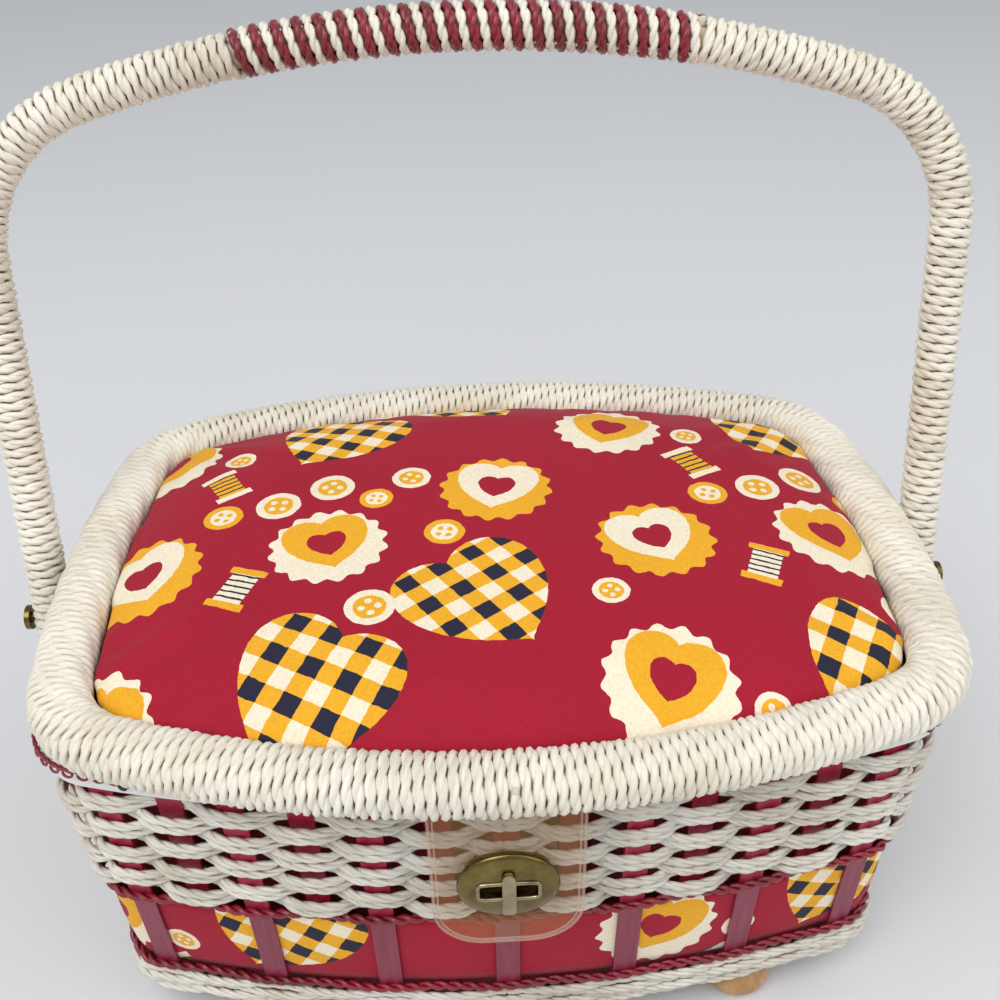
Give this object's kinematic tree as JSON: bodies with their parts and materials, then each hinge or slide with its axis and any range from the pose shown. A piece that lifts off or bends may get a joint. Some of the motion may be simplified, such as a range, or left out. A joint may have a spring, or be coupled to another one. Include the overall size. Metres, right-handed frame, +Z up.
{
  "type": "wicker sewing basket",
  "caption": "Oval-cornered woven sewing basket with a padded hinged lid, a turn-lock on a clear tab, a printed fabric band and a wrapped bail handle.",
  "frame": {"origin": "on the surface that the feet stand on, under the middle of the basket's overall box", "axes": "+X to the right along the lid's width, +Y from the lock at the front to the hinges, +Z up"},
  "size_m": [0.3382, 0.236, 0.3216],
  "materials": {
    "twine": "twisted off-white paper twine",
    "red_cord": "thin glossy twisted red cord",
    "red_splint": "flat dyed splint",
    "printed_cotton": "plain-weave cotton with a printed pattern",
    "red_lining": "plain red lining cloth",
    "foam": "soft foam under the cover",
    "fibreboard": "pressed board",
    "white_hoop": "smooth white band",
    "cane": "bent cane",
    "turned_wood": "turned and varnished",
    "steel": "plain steel",
    "antique_brass": "antiqued, dark in the hollows",
    "clear_vinyl": "clear flexible vinyl with a welded edge"
  },
  "bodies": {
    "basket": {"stakes_outer": "red_splint", "stakes_inner": "red_splint", "lower_weave": "twine", "upper_weave": "twine", "lower_red_cord": "red_cord", "upper_red_cord": "red_cord", "fabric_band": "printed_cotton", "rim_nails": "steel", "hinge_body_leaf_left": "antique_brass", "hinge_body_leaf_right": "antique_brass", "hinge_pin_left": "steel", "hinge_pin_right": "steel", "hinge_body_screws": "steel", "rim_hoop_outer": "white_hoop", "rim_hoop_inner": "fibreboard", "picot_trim": "red_cord", "foot_front_left": "turned_wood", "foot_front_right": "turned_wood", "foot_rear_left": "turned_wood", "foot_rear_right": "turned_wood", "base_board": "fibreboard", "foot_screws": "steel", "wall_lining": "red_lining", "base_lining": "red_lining", "lock_base": "antique_brass", "lock_backing": "steel", "lock_rivets": "antique_brass", "handle_bracket_left": "antique_brass", "handle_bracket_right": "antique_brass", "bracket_backing_left": "steel", "bracket_backing_right": "steel", "bracket_rivets": "antique_brass"},
    "lid": {"lid_frame": "cane", "lid_rim_wrap": "twine", "lid_pad": "foam", "lid_cover": "printed_cotton", "lid_board": "fibreboard", "lid_lining": "red_lining", "hinge_lid_leaf_left": "antique_brass", "hinge_lid_leaf_right": "antique_brass", "hinge_lid_screws": "steel", "hasp_tab": "clear_vinyl", "hasp_plate": "antique_brass", "hasp_back_ring": "antique_brass", "tab_rivets": "antique_brass"},
    "toggle": {"lock_toggle": "antique_brass"},
    "handle_pivots": {"pivot_rivet_left": "antique_brass", "pivot_rivet_right": "antique_brass", "pivot_washer_left": "antique_brass", "pivot_washer_right": "antique_brass"},
    "handle": {"handle_core": "cane", "handle_wrap_left": "twine", "handle_wrap_right": "twine", "grip_wrap": "twine", "grip_winding_red": "red_cord", "grip_winding_white": "twine", "handle_end_left": "antique_brass", "handle_end_right": "antique_brass"}
  },
  "joints": [
    {"name": "lid_hinge", "type": "hinge", "parent": "basket", "child": "lid", "pos_m": [0, 0.11565, 0.1391], "axis": [-1, 0, 0], "range_deg": [0, 110]},
    {"name": "handle_pushback", "type": "hinge", "parent": "basket", "child": "handle_pivots", "pos_m": [0, 0.00405, 0.125], "axis": [-1, 0, 0], "range_deg": [0, 60.5]},
    {"name": "handle_swing", "type": "hinge", "parent": "handle_pivots", "child": "handle", "pos_m": [0, 0.00405, 0.125], "axis": [-1, 0, 0], "range_deg": [-104, 50]},
    {"name": "toggle_turn", "type": "hinge", "parent": "basket", "child": "toggle", "pos_m": [0, -0.105, 0.106], "axis": [0, -1, 0], "range_deg": [0, 90]}
  ],
  "couplings": [
    {"joint": "handle_pushback", "follows": "lid_hinge", "ratio": 0.55}
  ]
}
